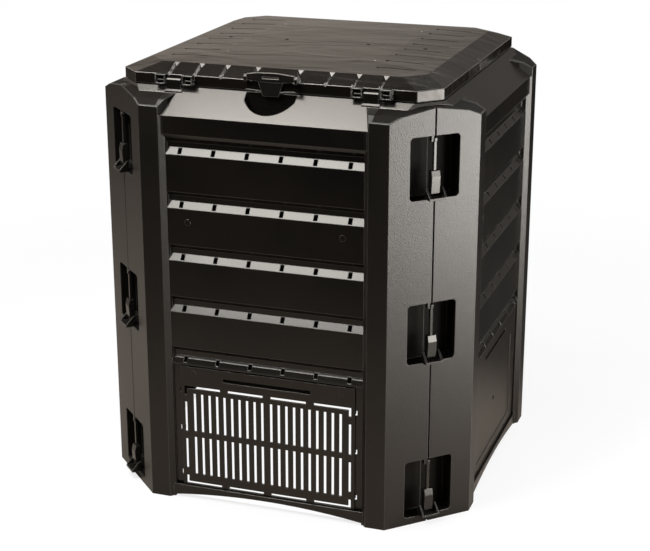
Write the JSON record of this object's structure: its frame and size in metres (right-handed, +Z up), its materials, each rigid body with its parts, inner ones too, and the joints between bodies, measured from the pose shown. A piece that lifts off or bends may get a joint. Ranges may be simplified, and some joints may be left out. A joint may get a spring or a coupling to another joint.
{
  "type": "compost bin with lid",
  "caption": "Black plastic compost bin: louvred walls joined at slanted corners by hanging latches, grille and plain hatches at the foot, and a hinged two-piece lid.",
  "frame": {"origin": "on the ground under the centre of the bin", "axes": "+Z up, the front wall with the lid's handle faces -Y, +X to the right seen from the front"},
  "size_m": [0.719, 0.719, 0.826],
  "materials": {
    "wall_plastic": "fine matt grain",
    "frame_plastic": "satin",
    "lid_plastic": "satin",
    "hatch_plastic": "satin",
    "latch_plastic": "smooth",
    "rod_plastic": "smooth"
  },
  "bodies": {
    "bin": {"wall_front": "wall_plastic", "wall_right": "wall_plastic", "wall_rear": "wall_plastic", "wall_left": "wall_plastic", "top_frame": "frame_plastic", "clip_rods_front": "rod_plastic", "clip_rods_rear": "rod_plastic"},
    "lid": {"lid_front_half": "lid_plastic", "lid_rear_half": "lid_plastic"},
    "handle": {"lid_handle": "lid_plastic"},
    "hatch_front": {"hatch_front": "hatch_plastic"},
    "hatch_right": {"hatch_right": "hatch_plastic"},
    "hatch_rear": {"hatch_rear": "hatch_plastic"},
    "hatch_left": {"hatch_left": "hatch_plastic"},
    "latch_front_right_bottom": {"latch_front_right_bottom": "latch_plastic"},
    "latch_rear_right_bottom": {"latch_rear_right_bottom": "latch_plastic"},
    "latch_rear_left_bottom": {"latch_rear_left_bottom": "latch_plastic"},
    "latch_front_left_bottom": {"latch_front_left_bottom": "latch_plastic"},
    "latch_front_right_middle": {"latch_front_right_middle": "latch_plastic"},
    "latch_rear_right_middle": {"latch_rear_right_middle": "latch_plastic"},
    "latch_rear_left_middle": {"latch_rear_left_middle": "latch_plastic"},
    "latch_front_left_middle": {"latch_front_left_middle": "latch_plastic"},
    "latch_front_right_top": {"latch_front_right_top": "latch_plastic"},
    "latch_rear_right_top": {"latch_rear_right_top": "latch_plastic"},
    "latch_rear_left_top": {"latch_rear_left_top": "latch_plastic"},
    "latch_front_left_top": {"latch_front_left_top": "latch_plastic"}
  },
  "joints": [
    {"name": "lid_hinge", "type": "hinge", "parent": "bin", "child": "lid", "pos_m": [0, 0.3063, 0.797], "axis": [-1, 0, 0], "range_deg": [0, 105]},
    {"name": "handle_pivot", "type": "hinge", "parent": "lid", "child": "handle", "pos_m": [0, -0.3072, 0.8145], "axis": [-1, 0, 0], "range_deg": [0, 22], "stiffness_Nm_per_rad": 0.3},
    {"name": "hatch_front_tilt", "type": "hinge", "parent": "bin", "child": "hatch_front", "pos_m": [0, -0.3473, 0.0235], "axis": [1, 0, 0], "range_deg": [0, 25]},
    {"name": "hatch_right_tilt", "type": "hinge", "parent": "bin", "child": "hatch_right", "pos_m": [0.3473, 0, 0.0235], "axis": [0, 1, 0], "range_deg": [0, 25]},
    {"name": "hatch_rear_tilt", "type": "hinge", "parent": "bin", "child": "hatch_rear", "pos_m": [0, 0.3473, 0.0235], "axis": [-1, 0, 0], "range_deg": [0, 25]},
    {"name": "hatch_left_tilt", "type": "hinge", "parent": "bin", "child": "hatch_left", "pos_m": [-0.3473, 0, 0.0235], "axis": [0, -1, 0], "range_deg": [0, 25]},
    {"name": "latch_front_right_bottom_swing", "type": "hinge", "parent": "bin", "child": "latch_front_right_bottom", "pos_m": [0.29408, -0.29408, 0.1203], "axis": [-0.7071, -0.7071, 0], "range_deg": [0, 50]},
    {"name": "latch_rear_right_bottom_swing", "type": "hinge", "parent": "bin", "child": "latch_rear_right_bottom", "pos_m": [0.29408, 0.29408, 0.1203], "axis": [0.7071, -0.7071, 0], "range_deg": [0, 50]},
    {"name": "latch_rear_left_bottom_swing", "type": "hinge", "parent": "bin", "child": "latch_rear_left_bottom", "pos_m": [-0.29408, 0.29408, 0.1203], "axis": [0.7071, 0.7071, 0], "range_deg": [0, 50]},
    {"name": "latch_front_left_bottom_swing", "type": "hinge", "parent": "bin", "child": "latch_front_left_bottom", "pos_m": [-0.29408, -0.29408, 0.1203], "axis": [-0.7071, 0.7071, 0], "range_deg": [0, 50]},
    {"name": "latch_front_right_middle_swing", "type": "hinge", "parent": "bin", "child": "latch_front_right_middle", "pos_m": [0.29408, -0.29408, 0.42315], "axis": [-0.7071, -0.7071, 0], "range_deg": [0, 50]},
    {"name": "latch_rear_right_middle_swing", "type": "hinge", "parent": "bin", "child": "latch_rear_right_middle", "pos_m": [0.29408, 0.29408, 0.42315], "axis": [0.7071, -0.7071, 0], "range_deg": [0, 50]},
    {"name": "latch_rear_left_middle_swing", "type": "hinge", "parent": "bin", "child": "latch_rear_left_middle", "pos_m": [-0.29408, 0.29408, 0.42315], "axis": [0.7071, 0.7071, 0], "range_deg": [0, 50]},
    {"name": "latch_front_left_middle_swing", "type": "hinge", "parent": "bin", "child": "latch_front_left_middle", "pos_m": [-0.29408, -0.29408, 0.42315], "axis": [-0.7071, 0.7071, 0], "range_deg": [0, 50]},
    {"name": "latch_front_right_top_swing", "type": "hinge", "parent": "bin", "child": "latch_front_right_top", "pos_m": [0.29408, -0.29408, 0.726], "axis": [-0.7071, -0.7071, 0], "range_deg": [0, 50]},
    {"name": "latch_rear_right_top_swing", "type": "hinge", "parent": "bin", "child": "latch_rear_right_top", "pos_m": [0.29408, 0.29408, 0.726], "axis": [0.7071, -0.7071, 0], "range_deg": [0, 50]},
    {"name": "latch_rear_left_top_swing", "type": "hinge", "parent": "bin", "child": "latch_rear_left_top", "pos_m": [-0.29408, 0.29408, 0.726], "axis": [0.7071, 0.7071, 0], "range_deg": [0, 50]},
    {"name": "latch_front_left_top_swing", "type": "hinge", "parent": "bin", "child": "latch_front_left_top", "pos_m": [-0.29408, -0.29408, 0.726], "axis": [-0.7071, 0.7071, 0], "range_deg": [0, 50]}
  ]
}
